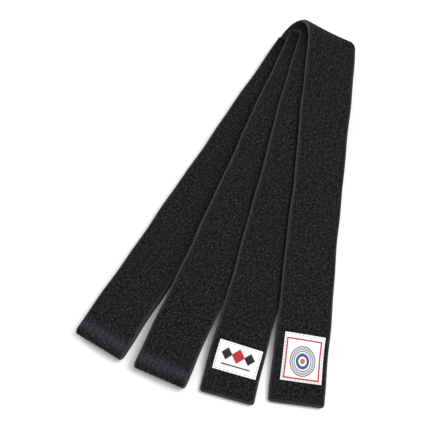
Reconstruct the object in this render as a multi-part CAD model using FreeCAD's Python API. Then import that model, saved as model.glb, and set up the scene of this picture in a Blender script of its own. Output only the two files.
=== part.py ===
import FreeCAD, Part
import math
import os
from bisect import bisect
from collections import namedtuple

# A cotton martial arts belt: one long quilted strap, laid down in six layers and fanned out.
# Four legs share one folded end.  From left to right they are leg 0 and leg 1, which each hold
# two layers and turn back in a bight, and leg 2 and leg 3, which are the strap's two labelled ends.
#
# The strap runs:  top end -> outer top fold -> leg 0 below -> left bight -> leg 0 above
#   -> inner top fold -> leg 1 below -> middle bight -> leg 1 above -> inner top fold -> under end.
#
# The real strap bends anywhere.  Here it is cut only on the lines where its loose parts hinge.
# Millimetres, +Z up, +Y towards the folded end, z = 0 is the surface that the belt lies on.

# ---- driving dimensions ----------------------------------------------------------------------
STRAP_WIDTH = 45.0
STRAP_THICKNESS = 4.0
LAYER_PITCH = 4.8            # from one layer to the next in the stack
BIGHT_PITCH = 6.4            # the two layers stand this far apart where they turn back
BIGHT_FLARE = 45.0           # over this length of leg they spread to it
LEG_CLEARANCE = 0.35         # air between one leg and the leg that lies on it
REST_CLEARANCE = 0.3         # legs 1 to 3 lie this high, on their stitching

PIVOT_X = 0.9                # where the middle lines of all four legs would meet
PIVOT_Y = 231.9
FAN_STEP = math.radians(7.7)
OUTER_FOLD_REACH = 78.0      # distance from that meeting point to where each top fold begins
LEFT_FOLD_REACH = 84.0       # the inner fold between legs 0 and 1, on leg 1
MIDDLE_FOLD_REACH = 76.0     # the inner fold between legs 1 and 2, on leg 2
TIP_REACH = (418.0, 418.0, 415.0, 409.0)
HINGE_REACH = 345.0          # just past the place where the legs part
TOP_HINGE_REACH = 130.0      # the top leg also lifts near its fold
SETTLE_START = 120.0         # a leg leaves the stack gradually between these two distances
SETTLE_END = 320.0

OUTER_FOLD_DEPTH = 21.0      # the outer fold is a loose loop, deeper at its left end
OUTER_FOLD_TAPER = 0.37
INNER_FOLD_SLANT = 0.34      # the inner folds lie aslant, further in at their left end
SLANT_START = 112.0          # a leg's cross-sections turn to that slant from here inwards

COVER_WALL = 0.7
PLY_COUNT = 3
PLY_THICKNESS = 0.8
PLY_EDGE_GAP = 0.4           # between the plies and the cover's side walls
TIP_SEAM_ALLOWANCE = 3.0     # the cover is closed over this length at each end

ROW_COUNT = 9                # quilting rows across the strap
ROW_PITCH = 4.7
THREAD_WIDTH = 0.8
THREAD_HEIGHT = 0.2
THREAD_GAP = 0.02
ROW_END_GAP = 12.0           # the rows stop short of each closed end

SEAM_DISTANCES = (4.0, 8.0)  # the two closing seams, from the end of the strap
SEAM_STITCH = 3.0
SEAM_PITCH = 4.1

LABEL_THICKNESS = 0.5
LABEL_LIFT = THREAD_GAP + THREAD_HEIGHT + 0.03
LABEL_STITCH = 2.2
LABEL_STITCH_PITCH = 3.0
LABEL_STITCH_INSET = 1.2
# distance of the lower edge from the strap's end, length along the strap, width, middle line
TALL_LABEL = (18.0, 39.0, 33.0, 1.9)
WIDE_LABEL = (20.0, 24.0, 36.0, 1.2)

STATION_SPACING = 24.0       # every leg has cross-sections at multiples of this reach
STATION_MARGIN = 5.0         # and none closer than this to a span's end
STATION_GAP = 0.05           # two cross-sections of one solid are never closer than this
OUTER_FOLD_STEPS = 14
TIGHT_FOLD_STEPS = 8

# ---- derived sizes ---------------------------------------------------------------------------
HALF_WIDTH = STRAP_WIDTH / 2
HALF_THICKNESS = STRAP_THICKNESS / 2
THREAD_TOP = HALF_THICKNESS + THREAD_GAP + THREAD_HEIGHT
FLATNESS = 1e-6              # corners this close to one plane make a flat face
PARTING_REACH = STRAP_WIDTH / FAN_STEP
LAYERS = (2, 2, 1, 1)
UP = FreeCAD.Vector(0, 0, 1)

# One cross-section of the strap: its middle, the direction from its left edge to its right, and
# the unit vector out of the face that is outermost at this span's fold.  The direction is a little
# longer than 1 where the section runs aslant, so that the strap keeps its width.
Station = namedtuple("Station", "point across outward")


def smooth(t):
    """An S-curve from 0 to 1, level at both ends."""
    t = min(max(t, 0.0), 1.0)
    return t * t * (3 - 2 * t)


# ---- where a leg lies ------------------------------------------------------------------------
def leg_angle(leg):
    """The leg's lean from -Y, towards -X."""
    return FAN_STEP * (1.5 - leg)


def flat_across(angle):
    return FreeCAD.Vector(math.cos(angle), -math.sin(angle), 0)


def heading(angle):
    return FreeCAD.Vector(math.sin(angle), math.cos(angle), 0)


def toward_fold(leg):
    return heading(leg_angle(leg))


def edge_heights(leg, reach):
    """Heights of the underside at the leg's left and right edges.

    The legs lie like shingles.  The right edge comes down off the leg below as they part, and the
    left edge rests on the other leg's right corner or on its sloping face, whichever is higher.
    """
    if leg == 0:
        return 0.0, 0.0
    left_below, right_below = edge_heights(leg - 1, reach)
    corner = right_below + LAYERS[leg - 1] * LAYER_PITCH + LEG_CLEARANCE
    settled = smooth((reach - SETTLE_START) / (SETTLE_END - SETTLE_START))
    right = corner + (REST_CLEARANCE - corner) * settled
    spread = reach * FAN_STEP
    overlap = max(STRAP_WIDTH - spread, 0.0)
    on_corner = right + (corner - right) * STRAP_WIDTH / spread
    on_face = corner + (left_below - right_below) / STRAP_WIDTH * overlap
    dropped = smooth((reach - PARTING_REACH) / (TIP_REACH[leg] - PARTING_REACH))
    left = max(on_corner, on_face)
    return left + (REST_CLEARANCE - left) * dropped, right


def ground_point(leg, reach):
    """The middle of the leg's underside."""
    left, right = edge_heights(leg, reach)
    middle = FreeCAD.Vector(PIVOT_X, PIVOT_Y, (left + right) / 2)
    return middle - toward_fold(leg) * reach


def layer_gap(leg, reach):
    """How far a leg's upper layer is from its lower one."""
    flare_start = bight_reach(leg) - BIGHT_FLARE
    return LAYER_PITCH + (BIGHT_PITCH - LAYER_PITCH) * smooth((reach - flare_start) / BIGHT_FLARE)


def bight_reach(leg):
    """Where the leg's two layers begin to turn back."""
    return TIP_REACH[leg] - BIGHT_PITCH / 2 - HALF_THICKNESS


def leg_station(leg, layer, reach, facing):
    """The cross-section of one layer; facing is 1 where its outward face is up, -1 where down."""
    left, right = edge_heights(leg, reach)
    roll = math.asin((right - left) / STRAP_WIDTH)
    across = flat_across(leg_angle(leg)) * math.cos(roll) + UP * math.sin(roll)
    along = ground_point(leg, reach + 1) - ground_point(leg, reach - 1)
    up = along.cross(across).normalize()
    height = HALF_THICKNESS + layer * layer_gap(leg, reach)
    return Station(ground_point(leg, reach) + up * height, across, up * facing)


def spaced(start, end):
    """Both ends and the multiples of the spacing between them, in order from start to end."""
    low, high = min(start, end), max(start, end)
    first = math.ceil((low + STATION_MARGIN) / STATION_SPACING)
    last = math.floor((high - STATION_MARGIN) / STATION_SPACING)
    reaches = [low] + [i * STATION_SPACING for i in range(first, last + 1)] + [high]
    return reaches if start < end else reaches[::-1]


def leg_run(leg, layer, start, end, facing):
    return [leg_station(leg, layer, reach, facing) for reach in spaced(start, end)]


# ---- folds -----------------------------------------------------------------------------------
def turn_over(start, end, outward, depth, steps, lead, across_at):
    """The turn from an upper layer's end point to a lower layer's.

    Its profile is half an ellipse in the plane of outward and the vertical, drawn sideways from
    one leg to the other.  lead is the sideways share per radian at both ends.
    """
    shift = FreeCAD.Vector(end.x - start.x, end.y - start.y, 0)

    def middle(turn):
        share = lead * turn + (1 - lead * math.pi) / 2 * (1 - math.cos(turn))
        height = (start.z + end.z) / 2 + (start.z - end.z) / 2 * math.cos(turn)
        ground = FreeCAD.Vector(start.x, start.y, height) + shift * share
        return ground + outward * (depth * math.sin(turn))

    stations = []
    for i in range(1, steps):
        turn = math.pi * i / steps
        along = middle(turn + 0.01) - middle(turn - 0.01)
        across = across_at(turn)
        stations.append(Station(middle(turn), across, across.cross(along).normalize()))
    return stations


def bight(leg):
    """The half-turn at the bottom of a two-layer leg, from its upper layer to its lower."""
    reach = bight_reach(leg)
    above = leg_station(leg, 1, reach, 1)
    below = leg_station(leg, 0, reach, 1)
    centre = (above.point + below.point) * 0.5
    radius = (above.point - below.point).Length / 2
    outward = above.across.cross(above.outward) * -1
    if outward.dot(toward_fold(leg)) > 0:
        outward = outward * -1
    stations = []
    for i in range(1, TIGHT_FOLD_STEPS):
        turn = math.pi * i / TIGHT_FOLD_STEPS
        normal = above.outward * math.cos(turn) + outward * math.sin(turn)
        stations.append(Station(centre + normal * radius, above.across, normal))
    return stations


# ---- the strap's spans -----------------------------------------------------------------------
def outer_run():
    """In along the top leg, round the loose outer fold, and out along the layer on the floor."""
    run_in = leg_run(3, 0, TOP_HINGE_REACH, OUTER_FOLD_REACH, 1)
    run_out = leg_run(0, 0, OUTER_FOLD_REACH, HINGE_REACH, -1)
    start = run_in[-1].point
    end = run_out[0].point
    start_angle = leg_angle(3)
    end_angle = leg_angle(0)
    outward = heading((start_angle + end_angle) / 2)
    lead = math.tan((end_angle - start_angle) / 2) * OUTER_FOLD_DEPTH / abs(end.x - start.x)

    def across_at(turn):
        angle = start_angle + (end_angle - start_angle) * turn / math.pi
        return flat_across(angle) - outward * (OUTER_FOLD_TAPER * math.sin(turn))

    fold = turn_over(start, end, outward, OUTER_FOLD_DEPTH, OUTER_FOLD_STEPS, lead, across_at)
    return run_in + fold + run_out


def inner_leg(layer, fold_reach, crease, facing):
    """A layer, as (leg, layer), from an inner fold out to the hinge.

    Its cross-sections turn to the crease as they come near the fold.
    """
    stations = []
    for reach in spaced(fold_reach, SLANT_START)[:-1] + spaced(SLANT_START, HINGE_REACH):
        station = leg_station(layer[0], layer[1], reach, facing)
        nearness = smooth((SLANT_START - reach) / (SLANT_START - fold_reach))
        across = station.across * (1 - nearness) + crease * nearness
        stations.append(station._replace(across=across))
    return stations


def inner_span(upper, lower, fold_reach):
    """In along the upper layer, round a tight slanting fold, and out along the lower layer."""
    angle = (leg_angle(upper[0]) + leg_angle(lower[0])) / 2
    crease = flat_across(angle) - heading(angle) * INNER_FOLD_SLANT
    outward = UP.cross(crease).normalize()
    ratio = toward_fold(upper[0]).dot(outward) / toward_fold(lower[0]).dot(outward)
    run_in = inner_leg(upper, fold_reach, crease, 1)[::-1]
    run_out = inner_leg(lower, fold_reach * ratio, crease, -1)
    fold = turn_over(run_in[-1].point, run_out[0].point, outward, LAYER_PITCH / 2,
                     TIGHT_FOLD_STEPS, 0.0, lambda turn: crease)
    return run_in + fold + run_out


def bight_span(leg):
    reach = bight_reach(leg)
    run_in = leg_run(leg, 1, HINGE_REACH, reach, 1)
    run_out = leg_run(leg, 0, reach, HINGE_REACH, -1)
    return run_in + bight(leg) + run_out


# Name, cross-sections, whether the far end is a closed end of the strap, and whether the outward
# face is the face side, which shows the needle thread.
Span = namedtuple("Span", "name stations closed face_out")
UNDER_END = Span("under_end", leg_run(2, 0, HINGE_REACH, TIP_REACH[2], 1), True, False)
TOP_END = Span("top_end", leg_run(3, 0, HINGE_REACH, TIP_REACH[3], 1), True, True)
SPANS = [
    Span("outer_run", outer_run(), False, True),
    Span("middle_run", inner_span((1, 0), (0, 1), LEFT_FOLD_REACH), False, False),
    Span("inner_run", inner_span((2, 0), (1, 1), MIDDLE_FOLD_REACH), False, False),
    Span("left_bight", bight_span(0), False, True),
    Span("middle_bight", bight_span(1), False, True),
    UNDER_END,
    Span("top_leg", leg_run(3, 0, TOP_HINGE_REACH, HINGE_REACH, 1), False, True),
    TOP_END,
]


# ---- solids ----------------------------------------------------------------------------------
def corner_ring(station, left, right, inner, outer):
    """A rectangle in the strap's cross-section, by distances across it and out of its face."""
    pairs = ((left, inner), (right, inner), (right, outer), (left, outer))
    return [station.point + station.across * across + station.outward * out
            for across, out in pairs]


def quad(a, b, c, d):
    """A flat face where the four corners share a plane, otherwise the ruled one between ab and dc."""
    normal = (b - a).cross(c - a)
    if abs((d - a).dot(normal)) < FLATNESS * normal.Length:
        return Part.Face(Part.makePolygon([a, b, c, d, a]))
    return Part.makeRuledSurface(Part.makeLine(a, b), Part.makeLine(d, c))


def strip(stations, left, right, inner, outer):
    """A solid that carries such a rectangle along the stations."""
    rings = [corner_ring(station, left, right, inner, outer) for station in stations]
    faces = []
    for here, there in zip(rings, rings[1:]):
        for i in range(4):
            j = (i + 1) % 4
            faces.append(quad(here[i], here[j], there[j], there[i]))
    for ring in (rings[0], rings[-1]):
        faces.append(quad(*ring))
    shell = Part.makeShell(faces)
    shell.sewShape()
    solid = Part.makeSolid(shell)
    if solid.Volume < 0:
        solid.reverse()
    return solid


def portion(stations, start, end):
    """The stations between two distances along them, with a new one on their chords at each end.

    A distance past either end of the run carries on in a straight line.
    """
    travelled = [0.0]
    for here, there in zip(stations, stations[1:]):
        travelled.append(travelled[-1] + (there.point - here.point).Length)

    def station_at(distance):
        i = min(max(bisect(travelled, distance) - 1, 0), len(stations) - 2)
        share = (distance - travelled[i]) / (travelled[i + 1] - travelled[i])
        pairs = zip(stations[i], stations[i + 1])
        return Station(*(here * (1 - share) + there * share for here, there in pairs))

    between = [station for station, distance in zip(stations, travelled)
               if start + STATION_GAP < distance < end - STATION_GAP]
    return [station_at(start)] + between + [station_at(end)]


def strap_length(stations):
    return sum((b.point - a.point).Length for a, b in zip(stations, stations[1:]))


def cover(span):
    """The cotton cover: a flat sleeve, open where it runs on and sewn shut at a closed end."""
    outside = strip(span.stations, -HALF_WIDTH, HALF_WIDTH, -HALF_THICKNESS, HALF_THICKNESS)
    end_move = -TIP_SEAM_ALLOWANCE if span.closed else 1.0
    hollow = HALF_THICKNESS - COVER_WALL
    inside = strip(portion(span.stations, -1.0, strap_length(span.stations) + end_move),
                   COVER_WALL - HALF_WIDTH, HALF_WIDTH - COVER_WALL, -hollow, hollow)
    return outside.cut(inside)


def core_ply(span, index):
    """One layer of the strap's filling, with a hair of air on both faces."""
    hollow = HALF_THICKNESS - COVER_WALL
    air = (2 * hollow - PLY_COUNT * PLY_THICKNESS) / (PLY_COUNT + 1)
    inner = -hollow + air + index * (PLY_THICKNESS + air)
    reach_in = COVER_WALL + PLY_EDGE_GAP
    end_move = -TIP_SEAM_ALLOWANCE - PLY_EDGE_GAP if span.closed else 0.0
    return strip(portion(span.stations, 0.0, strap_length(span.stations) + end_move),
                 reach_in - HALF_WIDTH, HALF_WIDTH - reach_in, inner, inner + PLY_THICKNESS)


def clear_of_floor(stations, side):
    """The stations where a thread on this side stays above the surface under the belt."""
    def lowest(station):
        face = station.point + station.outward * (side * THREAD_TOP)
        return face.z - abs(station.across.z) * HALF_WIDTH
    return [station for station in stations if lowest(station) > 0.0]


def quilting_threads(span, side):
    """All the rows of lockstitch on the outward (1) or inward (-1) face."""
    stations = clear_of_floor(span.stations, side)
    end_move = -ROW_END_GAP if span.closed else 0.0
    stations = portion(stations, 0.0, strap_length(stations) + end_move)
    faces = sorted((side * (HALF_THICKNESS + THREAD_GAP), side * THREAD_TOP))
    rows = []
    for i in range(ROW_COUNT):
        middle = (i - (ROW_COUNT - 1) / 2) * ROW_PITCH
        rows.append(strip(stations, middle - THREAD_WIDTH / 2, middle + THREAD_WIDTH / 2, *faces))
    return Part.makeCompound(rows)


def patch(span, near, far, left, right, inner, outer):
    """A flat piece on an end's upper face, between two distances from the end of the strap."""
    length = strap_length(span.stations)
    stations = portion(span.stations, length - far, length - near)
    return strip(stations, left, right, inner, outer)


def closing_seams(span):
    """Two rows of stitches across the strap, just inside its end."""
    count = int((STRAP_WIDTH - 2 * COVER_WALL) // SEAM_PITCH)
    stitches = []
    for distance in SEAM_DISTANCES:
        for i in range(count):
            middle = (i - (count - 1) / 2) * SEAM_PITCH
            stitches.append(patch(span, distance - THREAD_WIDTH / 2, distance + THREAD_WIDTH / 2,
                                  middle - SEAM_STITCH / 2, middle + SEAM_STITCH / 2,
                                  HALF_THICKNESS + THREAD_GAP, THREAD_TOP))
    return Part.makeCompound(stitches)


def label(span, near, length, width, middle):
    """A woven label, lying on the quilting threads."""
    bottom = HALF_THICKNESS + LABEL_LIFT
    return patch(span, near, near + length, middle - width / 2, middle + width / 2,
                 bottom, bottom + LABEL_THICKNESS)


def label_stitching(span, from_end, length, width, middle):
    """A line of stitches round the label, just inside its edge."""
    near = from_end + LABEL_STITCH_INSET
    far = from_end + length - LABEL_STITCH_INSET
    side = width / 2 - LABEL_STITCH_INSET
    bottom = HALF_THICKNESS + LABEL_LIFT + LABEL_THICKNESS + THREAD_GAP
    half = THREAD_WIDTH / 2
    stitches = []

    def centres(span_length):
        count = int((span_length - LABEL_STITCH) // LABEL_STITCH_PITCH)
        return [(i - (count - 1) / 2) * LABEL_STITCH_PITCH for i in range(count)]

    for distance in (near, far):
        for offset in centres(2 * side):
            across = middle + offset
            stitches.append(patch(span, distance - half, distance + half,
                                  across - LABEL_STITCH / 2, across + LABEL_STITCH / 2,
                                  bottom, bottom + THREAD_HEIGHT))
    for across in (middle - side, middle + side):
        for offset in centres(far - near):
            distance = (near + far) / 2 + offset
            stitches.append(patch(span, distance - LABEL_STITCH / 2, distance + LABEL_STITCH / 2,
                                  across - half, across + half, bottom, bottom + THREAD_HEIGHT))
    return Part.makeCompound(stitches)


# ---- build and export ------------------------------------------------------------------------
def hinge_line(leg, reach):
    """A level line across the leg, at the height of the highest point of the section there."""
    station = leg_station(leg, LAYERS[leg] - 1, reach, 1)
    top = station.point + station.outward * THREAD_TOP
    height = top.z + abs(station.across.z) * HALF_WIDTH
    return FreeCAD.Vector(top.x, top.y, height)


def build():
    nodes = {}
    for span in SPANS:
        out_name, in_name = "needle_threads_", "bobbin_threads_"
        if not span.face_out:
            out_name, in_name = in_name, out_name
        nodes["cover_" + span.name] = cover(span)
        for index in range(PLY_COUNT):
            nodes["core_ply_%d_%s" % (index + 1, span.name)] = core_ply(span, index)
        nodes[out_name + span.name] = quilting_threads(span, 1)
        nodes[in_name + span.name] = quilting_threads(span, -1)
    for end, name, sizes in ((UNDER_END, "wide_label", WIDE_LABEL),
                             (TOP_END, "tall_label", TALL_LABEL)):
        nodes["closing_seams_" + end.name] = closing_seams(end)
        nodes[name] = label(end, *sizes)
        nodes[name + "_stitching"] = label_stitching(end, *sizes)
    return nodes


def main():
    os.makedirs("parts", exist_ok=True)
    for name, shape in build().items():
        shape.exportStep("parts/%s.step" % name)
        print("%-30s solids %3d  volume %9.1f mm3  valid %s"
              % (name, len(shape.Solids), shape.Volume, shape.isValid()))
    total = sum(strap_length(span.stations) for span in SPANS)
    print("strap length along its middle: %.0f mm" % total)
    for leg, reach in ((0, HINGE_REACH), (1, HINGE_REACH), (2, HINGE_REACH),
                       (3, TOP_HINGE_REACH), (3, HINGE_REACH)):
        line = hinge_line(leg, reach)
        across = flat_across(leg_angle(leg))
        print("hinge on leg %d: through (%.3f, %.3f, %.3f), along (%.5f, %.5f, 0)"
              % (leg, line.x, line.y, line.z, -across.x, -across.y))


main()
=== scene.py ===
# %% [markdown]
# # A cotton martial arts belt
# The belt is one long quilted strap.  It is laid down in six layers and fanned out from one
# folded end, so that four legs show.  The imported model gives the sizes, the bodies and the
# joints; this lesson gives it cloth, stitches, woven labels and light.
#
# Every piece of the strap follows one line, worked out once.  The strap's outline is carried
# along that line, and the stitches and labels are laid on the same line, so they always fit.

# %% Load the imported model
import bpy
import numpy as np
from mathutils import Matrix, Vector


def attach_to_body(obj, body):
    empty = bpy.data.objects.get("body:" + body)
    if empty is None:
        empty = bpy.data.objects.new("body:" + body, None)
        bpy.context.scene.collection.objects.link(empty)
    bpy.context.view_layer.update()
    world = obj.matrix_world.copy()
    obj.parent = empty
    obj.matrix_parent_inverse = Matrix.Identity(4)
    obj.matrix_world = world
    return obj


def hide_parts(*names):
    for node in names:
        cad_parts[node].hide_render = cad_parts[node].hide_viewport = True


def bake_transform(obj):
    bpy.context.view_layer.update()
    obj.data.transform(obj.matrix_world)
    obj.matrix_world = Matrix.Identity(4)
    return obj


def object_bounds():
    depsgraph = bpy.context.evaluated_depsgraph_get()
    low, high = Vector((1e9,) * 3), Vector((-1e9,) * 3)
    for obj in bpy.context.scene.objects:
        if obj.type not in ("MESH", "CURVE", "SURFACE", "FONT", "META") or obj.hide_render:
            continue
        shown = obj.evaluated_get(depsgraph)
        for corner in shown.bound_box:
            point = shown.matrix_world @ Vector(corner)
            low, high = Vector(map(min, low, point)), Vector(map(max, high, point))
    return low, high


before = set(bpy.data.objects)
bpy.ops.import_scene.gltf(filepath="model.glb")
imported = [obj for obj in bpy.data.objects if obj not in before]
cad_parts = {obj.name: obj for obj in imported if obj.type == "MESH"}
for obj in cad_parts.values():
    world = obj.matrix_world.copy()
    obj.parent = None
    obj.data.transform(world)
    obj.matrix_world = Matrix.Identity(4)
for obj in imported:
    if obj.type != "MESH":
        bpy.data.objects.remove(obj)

cad_low, cad_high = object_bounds()
print("size in mm:", [round(1000 * side) for side in cad_high - cad_low])

# %% [markdown]
# ## The strap's sizes
# A belt of this kind is about 45 mm wide and 4 mm thick: a cotton cover over three plies of
# stiff cloth, held together by nine rows of quilting.  Sizes here are in millimetres, because a
# maker thinks of cloth in millimetres, and they become metres as a mesh is made.

# %% Sizes in millimetres
MM = 0.001
WIDTH = 45.0
THICKNESS = 4.0
ROWS = 9                     # quilting rows on each face
ROW_PITCH = 4.7
LAYER_PITCH = 4.8            # from one layer to the next
BIGHT_PITCH = 6.4            # the same at a bight
BIGHT_FLARE = 45.0           # the layers part over this length
LEG_CLEARANCE = 0.35         # air between one leg and the leg on it
REST_CLEARANCE = 0.3         # legs 1 to 3 lie on their stitching
STEP = np.radians(7.7)       # from one leg to the next
PIVOT = np.array([0.9, 231.9])
TIPS = (418.0, 418.0, 415.0, 409.0)
LAYERS = (2, 2, 1, 1)
HINGE = 345.0                # the loose ends lift here
TOP_HINGE = 130.0            # and the whole top leg here
CUT = 300.0                  # the strap's pieces end here, short of the hinges
TOP_CUT = 100.0
DROP_START = 120.0           # a leg's right edge starts down to the floor here
DROP_LENGTH = 200.0
OUTER_REACH = 78.0           # the loose loop: where it starts, its depth and its taper
OUTER_DEPTH = 21.0
OUTER_TAPER = 0.37
INNER_SLANT = 0.34           # the inner folds' crease, and where the legs start to turn to it
SLANT_START = 112.0
PARTING = WIDTH / STEP       # where neighbouring legs stop overlapping
print("the legs part %.0f mm from the point where their middle lines meet" % PARTING)

# %% [markdown]
# ## Where each leg lies
# The legs lie on each other like shingles.  Near the fold a leg lies flat on the stack.  Further
# out its right edge comes down to the floor, and its left edge stays up on its neighbour.  That
# could be draped by a cloth simulation, but the quilted strap is stiff and the rule is simple, so
# a formula gives the same result every time.

# %% Heights of a leg's two edges
def smooth(t):
    """An S-curve: 3t^2 - 2t^3 between 0 and 1, level outside."""
    t = np.clip(t, 0.0, 1.0)
    return t * t * (3 - 2 * t)


def edge_heights(leg, reach):
    """Heights of the underside at the left and right edges, at distances from the pivot.

    The right edge goes from the top of the leg below down to the floor by the S-curve.  The left
    edge is on the neighbour's corner or on its sloping face, whichever is higher.
    """
    if leg == 0:
        return np.zeros_like(reach), np.zeros_like(reach)
    left_below, right_below = edge_heights(leg - 1, reach)
    corner = right_below + LAYERS[leg - 1] * LAYER_PITCH + LEG_CLEARANCE
    right = corner + (REST_CLEARANCE - corner) * smooth((reach - DROP_START) / DROP_LENGTH)
    spread = reach * STEP
    on_corner = right + (corner - right) * WIDTH / spread
    on_face = corner + (left_below - right_below) / WIDTH * np.maximum(WIDTH - spread, 0.0)
    left = np.maximum(on_corner, on_face)
    dropped = smooth((reach - PARTING) / (TIPS[leg] - PARTING))
    return left + (REST_CLEARANCE - left) * dropped, right


for leg in (1, 2, 3):
    left, right = edge_heights(leg, np.array([200.0]))
    print("leg %d, 200 mm out: left edge %.1f mm up, right edge %.1f" % (leg, left[0], right[0]))


# %% Cross-sections along a leg
UP = np.array([0.0, 0.0, 1.0])


def unit(v):
    return v / np.linalg.norm(v, axis=-1, keepdims=True)


def lean(leg):
    return STEP * (1.5 - leg)


def sideways(angle):
    """The level direction from a leg's left edge to its right: (cos, -sin, 0)."""
    return np.stack([np.cos(angle), -np.sin(angle), 0 * np.asarray(angle)], -1)


def foldwards(angle):
    """The level direction towards the folded end: (sin, cos, 0)."""
    return np.stack([np.sin(angle), np.cos(angle), 0 * np.asarray(angle)], -1)


def underside(leg, reach):
    """The middle of the leg's underside: the pivot, less the reach along the leg."""
    left, right = edge_heights(leg, reach)
    middle = np.stack([0 * reach + PIVOT[0], 0 * reach + PIVOT[1], (left + right) / 2], -1)
    return middle - foldwards(lean(leg)) * reach[:, None]


def bight_start(leg):
    return TIPS[leg] - BIGHT_PITCH / 2 - THICKNESS / 2


def lay(leg, layer, start, end, facing, spacing=2.0):
    """Points, sideways directions and face normals of one layer, from one reach to another.

    A cross-section is level along the lean and rolled by asin(rise / width).  The layer's height
    over the underside is half a thickness, plus the gap between the layers, which opens by an
    S-curve towards the bight.  facing is 1 where the face side is up and -1 where it is down.
    """
    reach = np.linspace(start, end, max(int(abs(end - start) / spacing), 1) + 1)
    left, right = edge_heights(leg, reach)
    roll = np.arcsin((right - left) / WIDTH)[:, None]
    across = sideways(lean(leg)) * np.cos(roll) + UP * np.sin(roll)
    along = underside(leg, reach + 1) - underside(leg, reach - 1)
    up = unit(np.cross(along, across))
    opened = smooth((reach - bight_start(leg) + BIGHT_FLARE) / BIGHT_FLARE)
    gap = LAYER_PITCH + (BIGHT_PITCH - LAYER_PITCH) * opened
    height = THICKNESS / 2 + layer * gap
    return underside(leg, reach) + up * height[:, None], across, up * facing


# %% [markdown]
# ## The folds
# There are three kinds of fold.  A bight is a plain half-turn at the bottom of a two-layer leg.
# An inner fold is a tight turn that also steps sideways from one leg to the next, so its crease
# lies aslant.  The outer fold is a loose loop round all the others, deeper at its left end.

# %% Bights and folds
def half_turn(leg):
    """A bight from the lower layer to the upper: a half circle about the line between them."""
    reach = bight_start(leg)
    low, across, down = (track[0] for track in lay(leg, 0, reach, reach, -1))
    high = lay(leg, 1, reach, reach, 1)[0][0]
    outward = unit(np.cross(down, across))
    outward = outward * -np.sign(outward @ foldwards(lean(leg)))
    turn = np.linspace(0, np.pi, 17)[:, None]
    normal = unit(down * np.cos(turn) + outward * np.sin(turn))
    radius = np.linalg.norm(high - low) / 2
    return (low + high) / 2 + normal * radius, 0 * turn + across, normal


def turn_over(start, end, outward, depth, turn, lead):
    """The middle line of a fold between two layers.

    In height it is a half ellipse, mean + half the difference times cos(turn).  Outwards it is
    depth times sin(turn).  Sideways its share is lead * turn + (1 - lead * pi) / 2 * (1 - cos).
    """
    share = (lead * turn + (1 - lead * np.pi) / 2 * (1 - np.cos(turn)))[:, None]
    shift = (end - start) * [1, 1, 0]
    height = (start[2] + end[2]) / 2 + (start[2] - end[2]) / 2 * np.cos(turn)
    ground = start * [1, 1, 0] + shift * share + UP * height[:, None]
    return ground + outward * (depth * np.sin(turn))[:, None]


def outer_fold(start, end):
    """The loose loop from the top leg down to the floor layer of leg 0.

    start and end are the cross-sections that it joins.  Its sideways direction swings from one
    leg's to the other's, less a taper times sin(turn) outwards, which makes the left end deeper.
    """
    turn = np.linspace(0, np.pi, 49)
    angle = lean(3) + (lean(0) - lean(3)) * turn / np.pi
    outward = foldwards((lean(0) + lean(3)) / 2)
    width_apart = np.linalg.norm(((end[0] - start[0]) * [1, 1, 0]))
    lead = np.tan((lean(0) - lean(3)) / 2) * OUTER_DEPTH / width_apart
    middle = turn_over(start[0], end[0], outward, OUTER_DEPTH, turn, lead)
    across = sideways(angle) - outward * (OUTER_TAPER * np.sin(turn))[:, None]
    across = across + UP * (start[1][2] * (1 - smooth(turn / 0.7)))[:, None]
    normal = unit(np.cross(across, np.gradient(middle, axis=0)))
    return middle, across, normal


def inner_fold(lower, upper, reach):
    """A run in along a lower layer, round a slanting crease, and out along the upper layer.

    Both legs' sideways directions turn to the crease by an S-curve over their last stretch.
    The face side is up on the way in, inside the fold, and down on the way out.
    """
    angle = (lean(lower[0]) + lean(upper[0])) / 2
    crease = sideways(angle) - foldwards(angle) * INNER_SLANT
    outward = unit(np.cross(UP, crease))
    ratio = (foldwards(lean(upper[0])) @ outward) / (foldwards(lean(lower[0])) @ outward)

    def run(leg, layer, fold_reach, facing):
        middle, across, normal = lay(leg, layer, CUT, fold_reach, facing)
        reach = np.linspace(CUT, fold_reach, len(middle))
        near = smooth((SLANT_START - reach) / (SLANT_START - fold_reach))[:, None]
        return middle, across * (1 - near) + crease * near, normal

    inward = run(*lower, reach * ratio, 1)
    back = [track[::-1] for track in run(*upper, reach, -1)]
    turn = np.linspace(0, np.pi, 17)
    middle = turn_over(back[0][0], inward[0][-1], outward, LAYER_PITCH / 2, turn, 0.0)[::-1]
    normal = unit(UP * np.cos(turn)[:, None] - outward * np.sin(turn)[:, None])
    return [inward, (middle, 0 * middle + crease, normal), back]


# %% [markdown]
# ## One line for the whole strap
# The parts are joined in the order in which the cloth runs, from the labelled end on top to the
# labelled end under it.  The line keeps the distance along the cloth, so stitches, weave and
# labels stay the right size round every fold.

# %% The strap's line, piece by piece
top_in = lay(3, 0, TOP_CUT, OUTER_REACH, 1)
floor_out = lay(0, 0, OUTER_REACH, CUT, -1)
outer_turn = outer_fold([track[-1] for track in top_in], [track[0] for track in floor_out])
ROUTE = {
    "top_end": [lay(3, 0, TIPS[3], CUT, 1)],
    "top_leg": [lay(3, 0, CUT, TOP_CUT, 1)],
    "outer_run": [top_in, outer_turn, floor_out],
    "left_bight": [lay(0, 0, CUT, bight_start(0), -1), half_turn(0),
                   lay(0, 1, bight_start(0), CUT, 1)],
    "middle_run": inner_fold((0, 1), (1, 0), 84.0),
    "middle_bight": [lay(1, 0, CUT, bight_start(1), -1), half_turn(1),
                     lay(1, 1, bight_start(1), CUT, 1)],
    "inner_run": inner_fold((1, 1), (2, 0), 76.0),
    "under_end": [lay(2, 0, CUT, TIPS[2], -1)],
}

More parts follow.
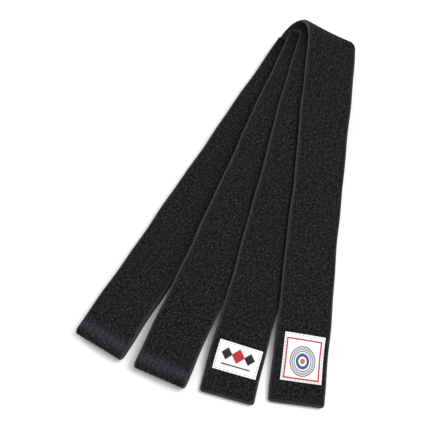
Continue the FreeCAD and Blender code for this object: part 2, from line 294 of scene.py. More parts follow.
parts = [part for pieces in ROUTE.values() for part in pieces]
MIDDLE, ACROSS, FACE = (np.concatenate([part[k][:-1] for part in parts] + [parts[-1][k][-1:]])
                        for k in range(3))
ALONG = np.concatenate([[0.0], np.cumsum(np.linalg.norm(np.diff(MIDDLE, axis=0), axis=1))])
LENGTH = ALONG[-1]
ends = np.cumsum([sum(len(part[0]) - 1 for part in pieces) for pieces in ROUTE.values()])
REACHED = dict(zip(ROUTE, zip(ALONG[np.concatenate([[0], ends[:-1]])], ALONG[ends])))
print("the strap is %.0f mm long" % LENGTH)
for name, (start, end) in REACHED.items():
    print("  %-13s %5.0f to %5.0f mm" % (name, start, end))


# %% Laying anything on the strap
def waver(points):
    """A slight unevenness, as no cloth lies quite flat: sums of long sine waves over the floor.

    It moves everything at one place together, so layers that clear each other still do, and it
    fades out at the floor.
    """
    x, y, z = np.moveaxis(points, -1, 0)
    lift = 0.35 * np.sin(x / 15 + 0.6) * np.sin(y / 27 + 1.1) + 0.25 * np.sin(x / 9 - y / 19)
    drift = 0.30 * np.sin(y / 17 + 0.4) + 0.20 * np.sin(y / 7.5 + x / 40)
    return points + np.stack([drift, 0 * x, lift * np.clip(z / 6, 0, 1)], -1)


def at(along):
    """The strap's middle, sideways direction and face normal at distances along it."""
    return [np.stack([np.interp(along, ALONG, track[:, k]) for k in range(3)], -1)
            for track in (MIDDLE, ACROSS, FACE)]


def place(along, x, y):
    """Points in metres, from distances along the strap, across it and out of its face."""
    along, x, y = np.broadcast_arrays(along, x, y)
    middle, across, face = at(along)
    return waver(middle + across * x[..., None] + face * y[..., None]) * MM


# %% [markdown]
# ## Making meshes
# A closed outline carried along a line is a grid that joins up sideways.  Its two ends are closed
# with a row of quads between the outline's upper and lower halves, and a triangle at each side.
# The signed volume tells whether the faces point outwards, and they are turned round if it is
# negative.

# %% Grid to mesh
TURNED = [1, 0, 3, 2]        # the order that turns a quad or a triangle round


def new_object(name, vertices, quads, uv=None):
    """A mesh object from arrays: vertices (n, 3), quads (m, 4), one uv pair for each corner.

    A quad whose last two corners are the same stands for a triangle.
    """
    corners = vertices[quads]
    volume = np.einsum("ij,ij->", corners[:, 0], np.cross(corners[:, 1], corners[:, 2]))
    volume += np.einsum("ij,ij->", corners[:, 0], np.cross(corners[:, 2], corners[:, 3]))
    if volume < 0:
        quads = quads[:, TURNED]
        uv = None if uv is None else uv[:, TURNED]
    triangle = quads[:, 2] == quads[:, 3]
    mesh = bpy.data.meshes.new(name)
    mesh.from_pydata(vertices.tolist(), [],
                     quads[~triangle].tolist() + quads[triangle, :3].tolist())
    if uv is not None:
        uv = np.concatenate([uv[~triangle].ravel(), uv[triangle, :3].ravel()])
        mesh.uv_layers.new(name="Cloth").data.foreach_set("uv", uv)
    mesh.shade_smooth()
    mesh.set_sharp_from_angle(angle=np.radians(60))
    made = bpy.data.objects.new(name, mesh)
    bpy.context.scene.collection.objects.link(made)
    return made


def sleeve(name, points, girth, along):
    """A closed tube from points (rows, columns, 3), with its ends closed.

    girth is the distance round the outline at each column and one more where it joins up, and
    along is the distance at each row: together they are the uv map, in millimetres.
    """
    rows, columns = points.shape[:2]
    i, j = np.meshgrid(np.arange(rows - 1), np.arange(columns), indexing="ij")
    corner_i = np.stack([i, i + 1, i + 1, i], -1).reshape(-1, 4)
    corner_j = np.stack([j, j, j + 1, j + 1], -1).reshape(-1, 4)
    quads = corner_i * columns + corner_j % columns
    uv = np.stack([girth[corner_j], along[corner_i]], -1)
    half = columns // 2
    k = np.arange(1, half - 1)
    cap = np.concatenate([[[0, 1, columns - 1, columns - 1]],
                          np.stack([k, k + 1, columns - k - 1, columns - k], -1),
                          [[half - 1, half, half + 1, half + 1]]])
    for row, faces in ((0, cap), (rows - 1, cap[:, TURNED])):
        quads = np.concatenate([quads, row * columns + faces])
        uv = np.concatenate([uv, np.stack([girth[faces], 0.0 * faces + along[row]], -1)])
    return new_object(name, points.reshape(-1, 3), quads, uv)


# %% [markdown]
# ## The strap's outline
# Across the strap the cloth puffs up between its quilting rows and is drawn in at each row.  Its
# edges are round, because the cover is folded over the plies.  One outline could be extruded,
# but the rows stop before the sewn ends and those ends are thin and round-cornered, so the
# outline is a function of the distance from the end as well.

# %% The outline and how it changes towards a sewn end
ROW_LINES = (np.arange(ROWS) - (ROWS - 1) / 2) * ROW_PITCH
EDGE = THICKNESS / 2
SEAMS = (4.0, 8.0)           # the closing seams' distances from an end
HALF_GIRTH = 47.0            # from one edge round to the other, on the uv map
EDGE_GIRTH = 3.0
PUFF = 0.1
GROOVE = 0.32
CORNER = 3.0                 # radius of the sewn ends' corners

offsets = np.array([-1.5, -0.8, -0.4, 0.0, 0.4, 0.8, 1.5, 2.35])
flat_x = np.concatenate([[ROW_LINES[0] - 2.35], (ROW_LINES[:, None] + offsets).ravel()])
flat_x = flat_x[np.abs(flat_x) < WIDTH / 2 - EDGE - 0.1]
quarter = np.linspace(0, np.pi / 2, 7)
upper_x = np.concatenate([-(WIDTH / 2 - EDGE) - EDGE * np.cos(quarter), flat_x,
                          WIDTH / 2 - EDGE + EDGE * np.sin(quarter)])
upper_y = np.concatenate([EDGE * np.sin(quarter), 0 * flat_x + EDGE, EDGE * np.cos(quarter)])
edge_girth = EDGE_GIRTH * quarter / (np.pi / 2)
upper_girth = np.concatenate([edge_girth, flat_x + HALF_GIRTH / 2,
                              HALF_GIRTH - EDGE_GIRTH + edge_girth])
drawn_in = np.exp(-((upper_x[:, None] - ROW_LINES) / 0.75) ** 2).sum(1)
puffed = np.clip(upper_y / EDGE, 0, 1) ** 4

OUTLINE_X = np.concatenate([upper_x, upper_x[-2:0:-1]])
OUTLINE_Y = np.concatenate([upper_y, -upper_y[-2:0:-1]])
OUTLINE_GIRTH = np.concatenate([upper_girth, 2 * HALF_GIRTH - upper_girth[-2:0:-1],
                                [2 * HALF_GIRTH]])
DRAWN_IN, PUFFED = (np.concatenate([v, v[-2:0:-1]]) for v in (drawn_in, puffed))
print("the outline has %d points" % len(OUTLINE_X))


def outline(from_end):
    """x and y of the outline at distances from a sewn end.

    Half thickness: a puff, less a groove at each row, both fading out from 14.5 to 10.5 mm from
    the end; pressed in at both closing seams; rounded off over the last 1.5 mm.
    Half width: rounded off with a radius at the corners.
    """
    d = from_end[:, None]
    quilted = smooth((d - 10.5) / 4.0)
    y = OUTLINE_Y + np.sign(OUTLINE_Y) * (PUFF * PUFFED - GROOVE * DRAWN_IN * PUFFED) * quilted
    pressed = sum(np.exp(-((d - seam) / 0.9) ** 2) for seam in SEAMS)
    thin = 1 - 0.14 * (1 - smooth((d - 8.0) / 6.0)) - 0.16 * pressed
    rounded = np.sqrt(np.clip(1 - (1 - np.clip(d / 1.5, 0.02, 1)) ** 2, 0, 1))
    corner = 1 - np.sqrt(np.clip(1 - (1 - np.clip(d / CORNER, 0, 1)) ** 2, 0, 1))
    return OUTLINE_X * (1 - CORNER * corner / (WIDTH / 2)), y * thin * rounded


def from_sewn_end(along):
    return np.minimum(along, LENGTH - along)


def make_strap(name):
    """One piece of the strap: the outline carried from its first to its last distance."""
    start, end = REACHED[name]
    close_up = np.array([0, .05, .15, .3, .5, .8, 1.2, 1.6, 2, 2.5, 3])
    close_up = np.concatenate([close_up, np.arange(3.4, 15.0, 0.4)])
    wanted = np.concatenate([ALONG, close_up, LENGTH - close_up])
    along = np.unique(np.round(wanted[(wanted > start + 0.02) & (wanted < end - 0.02)], 3))
    along = np.concatenate([[start], along, [end]])
    x, y = outline(from_sewn_end(along))
    points = place(along[:, None], x, y)
    strap = sleeve("strap_" + name, points, OUTLINE_GIRTH, along)
    # Lighter edges and sewn ends: partly handling wear, partly a painted highlight along the
    # rounded edges.
    wear_and_highlight = strap.data.attributes.new("wear_and_highlight", "FLOAT", "POINT")
    at_edge = np.exp(-((WIDTH / 2 - np.abs(OUTLINE_X)) / 1.3) ** 2)
    at_end = np.exp(-(from_sewn_end(along) / 1.5) ** 2)
    amount = np.maximum(at_edge, at_end[:, None])
    # Each bight's crest gets a painted highlight: a lighter band where the round of the fold would
    # catch the light.
    if "bight" in name:
        painted_crest_highlight = np.exp(-((along - (start + end) / 2 - 9.0) / 4.5) ** 2)
        amount = np.maximum(amount, 0.5 * painted_crest_highlight[:, None])
    wear_and_highlight.data.foreach_set("value", amount.astype(np.float32).ravel())
    # Painted shade inside the inner folds: the cloth is darkened most at the middle of each fold.
    if name in ("middle_run", "inner_run"):
        painted_fold_shade = strap.data.attributes.new("painted_fold_shade", "FLOAT", "POINT")
        depth = np.exp(-((along - (start + end) / 2) / 20.0) ** 2)[:, None] + 0 * OUTLINE_X
        painted_fold_shade.data.foreach_set("value", depth.astype(np.float32).ravel())
    return strap


STRAPS = {name: make_strap(name) for name in ROUTE}
for strap in STRAPS.values():
    print("%-20s %6d quads" % (strap.name, len(strap.data.polygons)))


# %% [markdown]
# ## Quilting stitches
# Each row is lockstitch: needle thread shows on the face side, bobbin thread on the back.  A
# stitch is a short, flattened bead of thread that dips into the cloth at both ends.  Thousands of
# them are one bead laid down again and again by whole arrays, so the bead has few faces.

# %% One bead of thread
STITCH_PITCH = 3.6


def bead(length, width, height):
    """Points (n, 3) as along, across and up, and quads of one stitch.

    Its outline is a ring of five points at each of four places along it.  The ring's size is
    sin of the place's turn, and the bead arches by the same sine.
    """
    turn = np.radians([14.0, 55.0, 125.0, 166.0])
    ring = np.radians([-30.0, 30.0, 90.0, 150.0, 210.0])
    size = np.sin(turn)[:, None]
    along = -length / 2 * np.cos(turn)[:, None] + 0 * ring
    across = width / 2 * np.cos(ring) * size ** 0.6
    up = height * (0.5 * np.sin(ring) * size ** 0.6 + 0.5 * size - 0.35)
    points = np.stack([along, across, up], -1).reshape(-1, 3)
    i, j = np.meshgrid(np.arange(3), np.arange(5), indexing="ij")
    quads = np.stack([i * 5 + j, (i + 1) * 5 + j, (i + 1) * 5 + (j + 1) % 5,
                      i * 5 + (j + 1) % 5], -1).reshape(-1, 4)
    close = np.array([[0, 1, 2, 3], [0, 3, 4, 4], [18, 17, 16, 15], [19, 18, 15, 15]])
    return points, np.concatenate([quads, close])


def sew(name, along, x, y, side, length=2.9, width=0.85, height=0.5, turned=False):
    """A piece of many stitches at the given places; side is 1 on the face and -1 on the back.

    turned lays them across the strap instead of along it.  Stitches that would be under the floor
    are left out, and so are those in the pinch inside a fold.
    """
    along, x, y = (v.ravel() for v in np.broadcast_arrays(along, x, y))
    middle, _, face = at(along)
    ahead, _, face_ahead = at(along + 0.5)
    behind, _, face_behind = at(along - 0.5)
    tangent = ahead - behind
    room = 1 + side * y * np.einsum("ij,ij->i", face_ahead - face_behind, tangent)
    high = (middle + face * (side * (y + height))[:, None])[:, 2]
    shown = (room > 0.45) & (high > 0.3)
    along, x, y = along[shown], x[shown], y[shown]
    points, quads = bead(length, width, height)
    if turned:
        points = points[:, [1, 0, 2]]
    made = place(along[:, None] + points[:, 0], x[:, None] + points[:, 1],
                 side * (y[:, None] + points[:, 2]))
    every = (np.arange(len(along)) * len(points))[:, None, None] + quads
    return new_object(name, made.reshape(-1, 3), every.reshape(-1, 4))


# %% Sew every piece on both faces
def quilt(name, side):
    """The rows of one piece on one side: a stitch every pitch, each a little off its row."""
    start, end = REACHED[name]
    count = np.arange(np.ceil(start / STITCH_PITCH + 0.5), np.floor(end / STITCH_PITCH - 0.4) + 1)
    along = count * STITCH_PITCH
    along = along[from_sewn_end(along) > 13.0][:, None]
    stagger = 0.35 * np.sin(along * 1.7 + ROW_LINES * 2.3)
    wander = 0.12 * np.sin(along / 11.0 + ROW_LINES)
    kind = "needle" if side > 0 else "bobbin"
    return sew("%s_stitches_%s" % (kind, name), along + stagger, ROW_LINES + wander,
               THICKNESS / 2 - 0.20, side)


STITCHES = {(name, side): quilt(name, side) for name in ROUTE for side in (1, -1)}
print("stitch faces:", sum(len(piece.data.polygons) for piece in STITCHES.values()))

# %% [markdown]
# ## Closing seams
# Each end of the strap is sewn shut with two short seams across it, with the same stitch turned
# sideways.  They show on both faces.

# %% Sew the two ends shut
def close_end(name, end_along, into):
    """Two seams across the strap at an end; into is 1 or -1, the way into the strap."""
    x = np.arange(-19.5, 19.6, 3.25)
    along = end_along + into * np.array(SEAMS)[:, None]
    return [sew("%s_%s" % (name, kind), along, x, THICKNESS / 2 * 0.72, side, turned=True)
            for kind, side in (("face", 1), ("back", -1))]


SEAM_PIECES = {"top_end": close_end("closing_seams_top", 0.0, 1),
               "under_end": close_end("closing_seams_under", LENGTH, -1)}
print([piece.name for pair in SEAM_PIECES.values() for piece in pair])

# %% [markdown]
# ## Woven labels
# A label is a thin woven patch sewn on near each end, on the side that faces up.  It lies on the
# quilting, its edges are folded under, and between its stitches it puckers a little.  Its marks
# are plain shapes.

# %% Labels and their stitches
LABELS = {
    # strap piece, the strap's end, the way into it, side, near edge, length, width, middle
    "tall_label": ("top_end", 0.0, 1, 1, 18.0, 39.0, 33.0, 1.9),
    "wide_label": ("under_end", LENGTH, -1, -1, 20.0, 24.0, 36.0, 1.2),
}
LABEL_BASE = THICKNESS / 2 + 0.22
LABEL_THICKNESS = 0.5


def make_label(name):
    """A thin closed patch: half thickness * sqrt(1 - t^12) from middle to edge, puckered.

    Its uv map is in millimetres from the label's own middle, up and to the right.
    """
    _, tip, into, side, near, length, width, middle = LABELS[name]
    t = np.sin(np.linspace(-np.pi / 2, np.pi / 2, 61))
    x = np.concatenate([t, t[-2:0:-1]]) * width / 2
    half = np.sqrt(np.clip(1 - t ** 12, 0, 1))
    y = np.concatenate([half, -half[-2:0:-1]])
    d = np.sin(np.linspace(-np.pi / 2, np.pi / 2, 71))
    ended = np.sqrt(np.clip(1 - d ** 12, 0.03, 1))[:, None]
    pucker = 0.10 * np.sin(2 * np.pi * d * length / 2 / 3.0)[:, None] * (np.abs(x) / width * 2) ** 6
    bulge = 0.12 * np.cos(x / width * np.pi) * np.cos(d * np.pi / 2)[:, None]
    out = LABEL_BASE + LABEL_THICKNESS / 2 * (1 + y * ended) + (pucker + bulge) * (y > 0)
    along = tip + into * (near + length / 2 + d * length / 2)
    points = place(along[:, None], middle + x, side * out)
    girth = np.concatenate([x, [x[0]]])
    return sleeve(name + "_patch", points, girth, d * length / 2)


def sew_label(name):
    """A line of stitches round the label, 1.2 mm inside its edge."""
    _, tip, into, side, near, length, width, middle = LABELS[name]
    top = LABEL_BASE + LABEL_THICKNESS + 0.02
    across = np.arange(-(width - 5) / 2, (width - 5) / 2 + 0.1, (width - 5) / 9)
    upward = np.arange(3.0, length - 2.9, (length - 6) / (length // 3.2))
    rows = sew(name + "_stitches_ends", tip + into * (near + np.array([[1.2], [length - 1.2]])),
               middle + across, top, side, 2.1, 0.7, 0.4, turned=True)
    columns = sew(name + "_stitches_sides", tip + into * (near + upward)[:, None],
                  middle + np.array([-1.0, 1.0]) * (width / 2 - 1.2), top, side, 2.1, 0.7, 0.4)
    return [rows, columns]


LABEL_PIECES = {name: make_label(name) for name in LABELS}
LABEL_STITCHES = {name: sew_label(name) for name in LABELS}
print("labels:", {name: len(piece.data.polygons) for name, piece in LABEL_PIECES.items()})

# %% [markdown]
# ## Materials
# Black belts are dyed cotton, and cotton scatters light: the cloth is never a flat black.  Each
# finish is built from nodes.  Patterns that follow the cloth read its uv map, which is in
# millimetres along and round the strap.

# %% Colours and one helper for nodes
def colour(code):
    """An sRGB hex colour as linear red, green, blue and alpha."""
    c = np.array([int(code[k:k + 2], 16) for k in (0, 2, 4)]) / 255
    linear = np.where(c <= 0.04045, c / 12.92, ((c + 0.055) / 1.055) ** 2.4)
    return tuple(linear) + (1.0,)


def add(tree, kind, inputs=(), **settings):
    """Adds a node.  inputs is (socket, value) pairs; a value that is a socket is linked."""
    node = tree.nodes.new(kind)
    for key, value in settings.items():
        setattr(node, key, value)
    for key, value in inputs:
        if isinstance(value, bpy.types.NodeSocket):
            tree.links.new(value, node.inputs[key])
        else:
            node.inputs[key].default_value = value
    return node


def new_material(name):
    """An empty material: its node tree and its shader."""
    material = bpy.data.materials.new(name)
    material.use_nodes = True
    tree = material.node_tree
    return material, tree, tree.nodes["Principled BSDF"]


def maths(tree, operation, *values):
    return add(tree, "ShaderNodeMath", enumerate(values), operation=operation).outputs[0]


def blend_colours(tree, amount, first, second):
    return add(tree, "ShaderNodeMix", (("Factor", amount), (6, first), (7, second)),
               data_type="RGBA").outputs[2]


# %% [markdown]
# ### Dyed cotton drill
# Real cover cloth has about two threads to the millimetre.  That is too fine to show at this
# size, so the weave is drawn at 1.3 mm.  Uneven dye, paler slubs and lint give the mottled look.
# Handling turns the folded edges a little greyer, and that grey is partly a painted highlight;
# the bights' crests get a painted highlight, and inside the inner folds a painted shade darkens the
# cloth.

# %% Cotton cover
cotton, tree, shader = new_material("black_cotton_drill")
uv = add(tree, "ShaderNodeUVMap", uv_map="Cloth").outputs[0]
wobble = add(tree, "ShaderNodeTexNoise", (("Vector", uv), ("Scale", 0.25), ("Detail", 2.0)))
shifted = add(tree, "ShaderNodeVectorMath", ((0, wobble.outputs["Color"]), (1, (0.9, 0.9, 0.0))),
              operation="MULTIPLY").outputs[0]
threads = add(tree, "ShaderNodeVectorMath", ((0, uv), (1, shifted)), operation="ADD").outputs[0]
axes = add(tree, "ShaderNodeSeparateXYZ", (("Vector", threads),))
WEAVE = 1.3
warp = maths(tree, "SINE", maths(tree, "MULTIPLY", axes.outputs[0], 2 * np.pi / WEAVE))
weft = maths(tree, "SINE", maths(tree, "MULTIPLY", axes.outputs[1], 2 * np.pi / WEAVE))
weave = maths(tree, "MULTIPLY", warp, weft)

# The cloth rises like a pillow between the stitches: a row every 4.7 mm, a stitch every 3.6 mm.
flat = add(tree, "ShaderNodeSeparateXYZ", (("Vector", uv),))
between_rows = maths(tree, "COSINE", maths(tree, "MULTIPLY", maths(
    tree, "SUBTRACT", flat.outputs[0], HALF_GIRTH / 2), 2 * np.pi / ROW_PITCH))
between_stitches = maths(tree, "COSINE", maths(
    tree, "MULTIPLY", flat.outputs[1], 2 * np.pi / STITCH_PITCH))
pillow = maths(tree, "MULTIPLY", maths(tree, "ADD", between_rows, 1.0), between_stitches)

mottle = add(tree, "ShaderNodeTexNoise", (("Vector", uv), ("Scale", 0.42), ("Detail", 3.0),
                                          ("Roughness", 0.8)))
slub_grain = add(tree, "ShaderNodeMapping", (("Vector", uv), ("Scale", (0.55, 0.8, 1.0))))
slubs = add(tree, "ShaderNodeTexNoise", (("Vector", slub_grain.outputs[0]), ("Scale", 1.0),
                                         ("Detail", 3.0), ("Roughness", 0.7)))
fading = add(tree, "ShaderNodeTexNoise", (("Vector", uv), ("Scale", 0.035), ("Detail", 3.0)))
dye = add(tree, "ShaderNodeValToRGB", (("Fac", mottle.outputs[0]),))
dye.color_ramp.elements[0].position = 0.46
dye.color_ramp.elements[0].color = colour("010102")
dye.color_ramp.elements[1].position = 0.60
dye.color_ramp.elements[1].color = colour("242428")
lint = add(tree, "ShaderNodeMapRange", (("Value", slubs.outputs[0]), ("From Min", 0.56),
                                        ("From Max", 0.68), ("To Max", 1.0)))
ground = blend_colours(tree, lint.outputs[0], dye.outputs[0], colour("515157"))
thread_tone = maths(tree, "MULTIPLY_ADD", weave, 0.16, 0.16)
ground = blend_colours(tree, thread_tone, ground, colour("050506"))
faded = add(tree, "ShaderNodeMapRange", (("Value", fading.outputs[0]), ("From Min", 0.35),
                                         ("From Max", 0.7), ("To Max", 0.2)))
ground = blend_colours(tree, faded.outputs[0], ground, colour("151517"))
# Pale grey on edges, ends and bight crests: partly wear, partly a painted highlight.
wear_and_highlight = add(tree, "ShaderNodeAttribute", attribute_name="wear_and_highlight")
wear_and_highlight_mix = maths(tree, "MULTIPLY", wear_and_highlight.outputs["Fac"], 0.6)
ground = blend_colours(tree, wear_and_highlight_mix, ground, colour("4c4c51"))
# Near-black painted shade inside the inner folds.
painted_fold_shade = add(tree, "ShaderNodeAttribute", attribute_name="painted_fold_shade")
fold_shade_mix = maths(tree, "MULTIPLY", painted_fold_shade.outputs["Fac"], 0.8)
ground = blend_colours(tree, fold_shade_mix, ground, colour("030304"))
tree.links.new(ground, shader.inputs["Base Color"])

height = maths(tree, "MULTIPLY_ADD", weave, 0.16, maths(
    tree, "MULTIPLY_ADD", mottle.outputs[0], 0.9, maths(tree, "MULTIPLY", pillow, -0.05)))
bump = add(tree, "ShaderNodeBump", (("Height", height), ("Strength", 0.6), ("Distance", 0.0004)))
tree.links.new(bump.outputs[0], shader.inputs["Normal"])
shader.inputs["Roughness"].default_value = 0.7
shader.inputs["Specular IOR Level"].default_value = 0.07
shader.inputs["Sheen Weight"].default_value = 0.01
shader.inputs["Sheen Roughness"].default_value = 0.4
print("cotton:", len(tree.nodes), "nodes")


# %% [markdown]
# ### Thread
# Quilting thread is spun polyester, twisted.  It is smoother than the cloth, so it catches the
# light in short glints.  The twist is drawn as fine slanting bands.

# %% Threads
def thread_material(name, dark, light, roughness):
    """Spun thread: bands 0.5 mm apart for the twist, and a little unevenness in its colour."""
    material, tree, shader = new_material(name)
    place_on = add(tree, "ShaderNodeTexCoord").outputs["Object"]
    twist = add(tree, "ShaderNodeTexWave", (("Vector", place_on), ("Scale", 330.0),
                                            ("Distortion", 2.0), ("Detail", 1.0)),
                bands_direction="DIAGONAL")
    tone = add(tree, "ShaderNodeTexNoise", (("Vector", place_on), ("Scale", 260.0),
                                            ("Detail", 2.0)))
    mixed = maths(tree, "MULTIPLY_ADD", twist.outputs["Fac"], 0.5,
                  maths(tree, "MULTIPLY", tone.outputs[0], 0.5))
    tree.links.new(blend_colours(tree, mixed, colour(dark), colour(light)),
                   shader.inputs["Base Color"])
    bump = add(tree, "ShaderNodeBump", (("Height", twist.outputs["Fac"]), ("Strength", 0.4),
                                        ("Distance", 0.0001)))
    tree.links.new(bump.outputs[0], shader.inputs["Normal"])
    shader.inputs["Roughness"].default_value = roughness
    shader.inputs["Specular IOR Level"].default_value = 0.2
    return material


black_thread = thread_material("black_spun_polyester", "050506", "151517", 0.75)
seam_thread = thread_material("black_seam_thread", "050506", "1a1a1d", 0.7)
pale_thread = thread_material("grey_label_thread", "8c8c92", "c8c8cc", 0.6)
print("threads:", black_thread.name, seam_thread.name, pale_thread.name)


# %% [markdown]
# ### Woven label
# A label is damask-woven polyester: a smooth white ground with coloured threads brought up for
# the marks.  The marks are drawn from the distance to simple shapes, so they stay crisp close
# up.  Fine ribs run across the label, 0.6 mm apart, which is coarser than the real weave.

# %% Label ground and plain marks
def label_material(name):
    """White woven ground: returns the material, its tree, its shader, x and y in millimetres."""
    material, tree, shader = new_material(name)
    uv = add(tree, "ShaderNodeUVMap", uv_map="Cloth").outputs[0]
    fuzz = add(tree, "ShaderNodeTexNoise", (("Vector", uv), ("Scale", 1.6), ("Detail", 2.0)))
    jitter = add(tree, "ShaderNodeVectorMath", ((0, fuzz.outputs["Color"]), (1, (0.3, 0.3, 0.0))),
                 operation="MULTIPLY").outputs[0]
    moved = add(tree, "ShaderNodeVectorMath", ((0, uv), (1, jitter)), operation="ADD").outputs[0]
    axes = add(tree, "ShaderNodeSeparateXYZ", (("Vector", moved),))
    ribs = maths(tree, "SINE", maths(tree, "MULTIPLY", axes.outputs[1], 2 * np.pi / 0.6))
    cords = maths(tree, "SINE", maths(tree, "MULTIPLY", axes.outputs[0], 2 * np.pi / 0.9))
    woven = maths(tree, "MULTIPLY_ADD", ribs, 0.5, maths(tree, "MULTIPLY", cords, 0.25))
    bump = add(tree, "ShaderNodeBump", (("Height", woven), ("Strength", 0.35),
                                        ("Distance", 0.00015)))
    tree.links.new(bump.outputs[0], shader.inputs["Normal"])
    shader.inputs["Roughness"].default_value = 0.62
    shader.inputs["Specular IOR Level"].default_value = 0.3
    shader.inputs["Sheen Weight"].default_value = 0.15
    shade = maths(tree, "MULTIPLY_ADD", woven, 0.12, 0.14)
    ground = blend_colours(tree, shade, colour("eeeeec"), colour("b9b9bc"))
    return material, tree, shader, axes.outputs[0], axes.outputs[1], ground


def inside(tree, distance, limit):
    """1 where a distance is less than the limit, with an edge one thread wide."""
    return add(tree, "ShaderNodeMapRange", (("Value", distance), ("From Min", limit + 0.12),
                                            ("From Max", limit - 0.12))).outputs[0]


def band(tree, distance, middle, half):
    """1 where a distance is within half of a middle value."""
    apart = maths(tree, "ABSOLUTE", maths(tree, "SUBTRACT", distance, middle))
    return inside(tree, apart, half)


def box_distance(tree, x, y, half_x, half_y):
    """How far outside a box about the origin: the larger of |x| - half_x and |y| - half_y."""
    return maths(tree, "MAXIMUM", maths(tree, "SUBTRACT", maths(tree, "ABSOLUTE", x), half_x),
                 maths(tree, "SUBTRACT", maths(tree, "ABSOLUTE", y), half_y))


# The tall label: a crimson frame and a plain ringed disc.
tall, tree, shader, x, y, ground = label_material("woven_label_tall")
framed = box_distance(tree, x, maths(tree, "ADD", y, 1.0), 13.8, 15.9)
ground = blend_colours(tree, band(tree, framed, 0.0, 0.62), ground, colour("b3152c"))
disc_y = maths(tree, "MULTIPLY", maths(tree, "ADD", y, 2.6), 0.85)
radius = maths(tree, "SQRT", maths(tree, "ADD", maths(tree, "MULTIPLY", x, x),
                                   maths(tree, "MULTIPLY", disc_y, disc_y)))
ground = blend_colours(tree, band(tree, radius, 10.1, 0.4), ground, colour("4c4c50"))
ground = blend_colours(tree, band(tree, radius, 8.5, 0.75), ground, colour("9b9ca0"))
ground = blend_colours(tree, band(tree, radius, 6.9, 0.35), ground, colour("4c4c50"))
ground = blend_colours(tree, band(tree, radius, 4.4, 1.1), ground, colour("12548f"))
ground = blend_colours(tree, inside(tree, radius, 2.0), ground, colour("b5701a"))
tree.links.new(ground, shader.inputs["Base Color"])

# The wide label: a row of plain lozenges over a bar.
wide, tree, shader, x, y, ground = label_material("woven_label_wide")
above = maths(tree, "SUBTRACT", y, 2.4)
for middle, half_x, tone in ((-9.4, 4.6, "0b0b0d"), (0.0, 5.6, "b3152c"), (9.4, 4.6, "0b0b0d")):
    away = maths(tree, "ADD",
                 maths(tree, "ABSOLUTE", maths(tree, "SUBTRACT", x, middle)),
                 maths(tree, "MULTIPLY", maths(tree, "ABSOLUTE", above), 0.9))
    ground = blend_colours(tree, inside(tree, away, half_x), ground, colour(tone))
bar = box_distance(tree, x, maths(tree, "ADD", y, 6.2), 12.0, 0.55)
ground = blend_colours(tree, inside(tree, bar, 0.0), ground, colour("0b0b0d"))
tree.links.new(ground, shader.inputs["Base Color"])
print("labels:", tall.name, wide.name)

# %% [markdown]
# ## Putting the pieces on the model's bodies
# The stack's pieces ride on the folded stack.  A loose end's piece starts on the stack and reaches
# past its hinge, where the loose end would bend; the table below lists that stretch, but here
# such pieces, with their stitches and labels, only have their transforms baked.

# %% Place each piece, give it its finish and hide the CAD parts it replaces
def hinge_zone(leg, reach, length):
    """Two points on a leg: its hinge, and the end of the stretch that bends."""
    points = underside(leg, np.array([reach, reach + length])) * MM
    return {"start": Vector(points[0]), "end": Vector(points[1])}


BENDS = {
    "left_bight": ("folded_stack", "left_bight", hinge_zone(0, HINGE, 26.0)),
    "middle_bight": ("folded_stack", "middle_bight", hinge_zone(1, HINGE, 26.0)),
    "under_end": ("folded_stack", "under_end", hinge_zone(2, HINGE, 24.0)),
    "top_leg": ("folded_stack", "top_leg", hinge_zone(3, TOP_HINGE, 26.0)),
    "top_end": ("top_leg", "top_end", hinge_zone(3, HINGE, 24.0)),
}


def attach(piece, span, material, nodes):
    """Bakes a piece in BENDS, else puts it on the stack; gives its material and hides its CAD
    nodes.
    """
    if span in BENDS:
        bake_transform(piece)
    else:
        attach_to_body(piece, "folded_stack")
    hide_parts(*nodes)
    piece.data.materials.append(material)


for name, strap in STRAPS.items():
    plies = ["core_ply_%d_%s" % (k, name) for k in (1, 2, 3)]
    attach(strap, name, cotton, ["cover_" + name] + plies)
for (name, side), piece in STITCHES.items():
    node = ("needle_threads_" if side > 0 else "bobbin_threads_") + name
    attach(piece, name, black_thread, [node])
for name, pair in SEAM_PIECES.items():
    for piece in pair:
        attach(piece, name, seam_thread, ["closing_seams_" + name])
for name, piece in LABEL_PIECES.items():
    span = LABELS[name][0]
    attach(piece, span, tall if name == "tall_label" else wide, [name])
    for stitches in LABEL_STITCHES[name]:
        attach(stitches, span, pale_thread, [name + "_stitching"])

# %% Read each strap piece's span and each label's size
for name, strap in STRAPS.items():
    start, end = REACHED[name]
for name, piece in LABEL_PIECES.items():
    span, length, width = LABELS[name][0], LABELS[name][5], LABELS[name][6]

# %% [markdown]
# ## Floor, light and camera
# The belt lies on a plain white sweep.  A large soft lamp overhead and to the right darkens the
# gaps beside the raised edges, one from the left draws a thin bright line along those edges, and
# a low one in front shows the round of the bights.

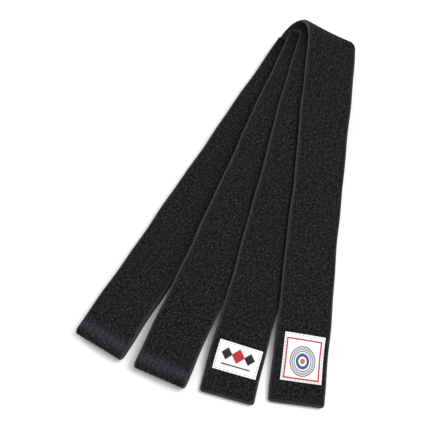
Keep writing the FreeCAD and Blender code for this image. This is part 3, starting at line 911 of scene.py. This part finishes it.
# %% Floor
floor_mesh = bpy.data.meshes.new("floor")
side = 30.0
floor_mesh.from_pydata([(-side, -side, -0.0003), (side, -side, -0.0003), (side, side, -0.0003),
                        (-side, side, -0.0003)], [], [(0, 1, 2, 3)])
floor = bpy.data.objects.new("floor", floor_mesh)
bpy.context.scene.collection.objects.link(floor)
paper, tree, shader = new_material("white_paper_sweep")
grain = add(tree, "ShaderNodeTexNoise", (("Vector", add(tree, "ShaderNodeTexCoord").outputs[
    "Object"]), ("Scale", 900.0), ("Detail", 2.0)))
tree.links.new(blend_colours(tree, grain.outputs[0], colour("f4f4f4"), colour("fbfbfb")),
               shader.inputs["Base Color"])
shader.inputs["Roughness"].default_value = 0.9
floor_mesh.materials.append(paper)

# %% Light
scene = bpy.context.scene
scene.view_settings.view_transform = "Standard"
world = bpy.data.worlds.new("studio")
scene.world = world
world.use_nodes = True
world.node_tree.nodes["Background"].inputs["Color"].default_value = colour("ffffff")
world.node_tree.nodes["Background"].inputs["Strength"].default_value = 0.50


def lamp(name, place_at, aim, size, power):
    """A square soft lamp, aimed at a point."""
    data = bpy.data.lights.new(name, "AREA")
    data.shape = "SQUARE"
    data.size = size
    data.energy = power
    made = bpy.data.objects.new(name, data)
    made.location = place_at
    made.rotation_euler = (Vector(aim) - Vector(place_at)).to_track_quat("-Z", "Y").to_euler()
    scene.collection.objects.link(made)
    return made


centre = (cad_low + cad_high) / 2
lamp("soft_key", (0.70, 0.35, 1.00), centre, 0.6, 6.5)
sun = bpy.data.lights.new("sky_light", "SUN")
sun.energy = 1.45
sun.angle = np.radians(45)
sky = bpy.data.objects.new("sky_light", sun)
sky.rotation_euler = Vector((-0.5, -0.3, -1.0)).to_track_quat("-Z", "Y").to_euler()
scene.collection.objects.link(sky)
lamp("edge_light", (-0.85, 0.25, 0.35), centre, 0.4, 3.6)
lamp("front_light", (-0.25, -1.05, 0.50), centre, 0.5, 1.5)

# %% Camera
AZIMUTH, ELEVATION, DISTANCE = np.radians(19.37), np.radians(65.31), 0.6969
target = Vector((centre.x - 0.0328, centre.y - 0.0328, 0.0))
back = Vector((np.sin(AZIMUTH) * np.cos(ELEVATION), -np.cos(AZIMUTH) * np.cos(ELEVATION),
               np.sin(ELEVATION)))
camera_data = bpy.data.cameras.new("camera")
camera_data.lens = 66.16
camera_data.sensor_width = 36.0
camera_data.clip_start = 0.01
camera = bpy.data.objects.new("camera", camera_data)
camera.location = target + back * DISTANCE
camera.rotation_euler = (-back).to_track_quat("-Z", "Y").to_euler()
scene.collection.objects.link(camera)
scene.camera = camera

# %% Print the CAD box and finish
print("cad box  ", [round(1000 * v, 1) for v in (*cad_low, *cad_high)])
